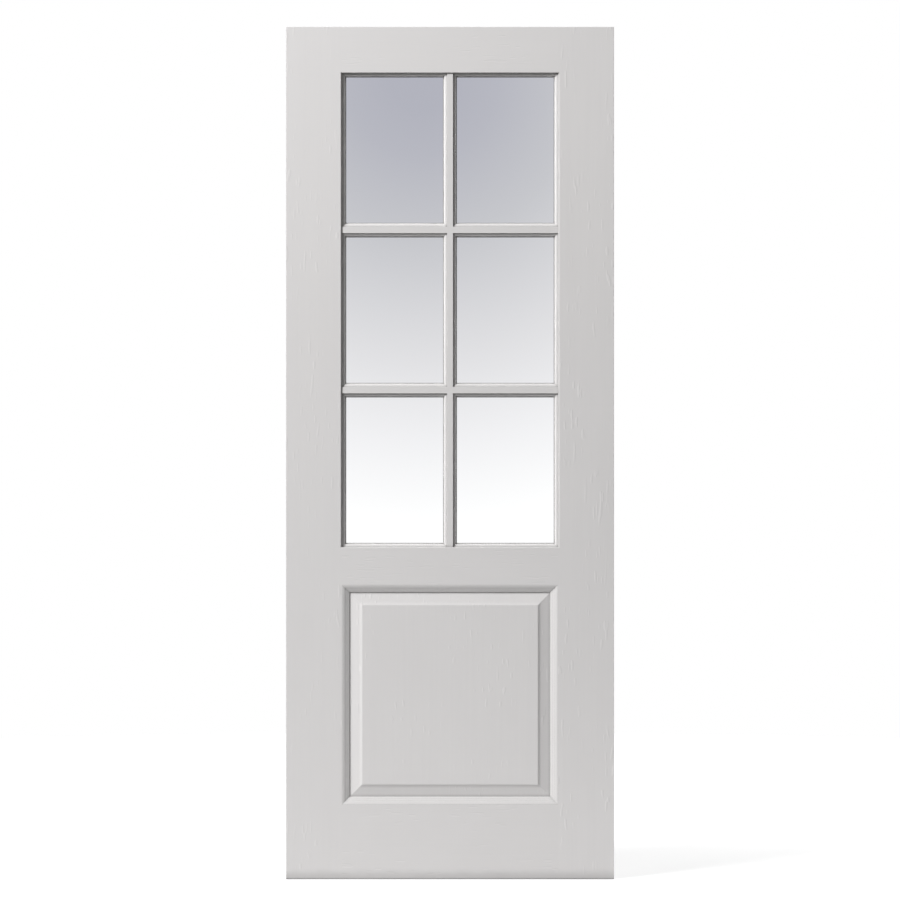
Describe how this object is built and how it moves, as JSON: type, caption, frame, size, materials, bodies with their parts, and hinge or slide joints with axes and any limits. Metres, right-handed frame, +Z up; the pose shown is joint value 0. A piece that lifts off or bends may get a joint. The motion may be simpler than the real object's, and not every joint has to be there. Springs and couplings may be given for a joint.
{
  "type": "glazed door",
  "caption": "Glazed internal door leaf: clear panes between moulded glazing bars above a raised and fielded lower panel, in white-primed timber, hung by its hinge edge.",
  "frame": {"origin": "the middle of the hinge edge: half the height, half the thickness, on the edge's face", "axes": "+X runs from the hinge edge to the lock edge, +Z is up, and the front face looks along -Y"},
  "size_m": [0.762, 0.035, 1.981],
  "materials": {
    "painted_frame": "smooth matt white primer over timber, faint grain along each board",
    "painted_bars": "smooth matt white primer over moulded timber",
    "painted_mouldings": "smooth matt white primer over moulded timber strip",
    "painted_panel": "smooth matt white primer over timber, faint upright grain",
    "clear_glass": "clear flat float glass"
  },
  "bodies": {
    "root": {"bottom_rail": "painted_frame", "cross_beads_bottom_left": "painted_mouldings", "cross_beads_bottom_right": "painted_mouldings", "cross_beads_middle_left": "painted_mouldings", "cross_beads_middle_right": "painted_mouldings", "cross_beads_top_left": "painted_mouldings", "cross_beads_top_right": "painted_mouldings", "glass_bottom_left": "clear_glass", "glass_bottom_right": "clear_glass", "glass_middle_left": "clear_glass", "glass_middle_right": "clear_glass", "glass_top_left": "clear_glass", "glass_top_right": "clear_glass", "glazing_bar_lower_left": "painted_bars", "glazing_bar_lower_right": "painted_bars", "glazing_bar_upper_left": "painted_bars", "glazing_bar_upper_right": "painted_bars", "glazing_bar_upright": "painted_bars", "glazing_moulding_bottom": "painted_mouldings", "glazing_moulding_left": "painted_mouldings", "glazing_moulding_right": "painted_mouldings", "glazing_moulding_top": "painted_mouldings", "hinge_stile": "painted_frame", "lock_rail": "painted_frame", "lock_stile": "painted_frame", "panel": "painted_panel", "panel_moulding_front_bottom": "painted_mouldings", "panel_moulding_front_left": "painted_mouldings", "panel_moulding_front_right": "painted_mouldings", "panel_moulding_front_top": "painted_mouldings", "panel_moulding_rear_bottom": "painted_mouldings", "panel_moulding_rear_left": "painted_mouldings", "panel_moulding_rear_right": "painted_mouldings", "panel_moulding_rear_top": "painted_mouldings", "side_beads_bottom_left": "painted_mouldings", "side_beads_bottom_right": "painted_mouldings", "side_beads_middle_left": "painted_mouldings", "side_beads_middle_right": "painted_mouldings", "side_beads_top_left": "painted_mouldings", "side_beads_top_right": "painted_mouldings", "top_rail": "painted_frame"}
  },
  "joints": []
}
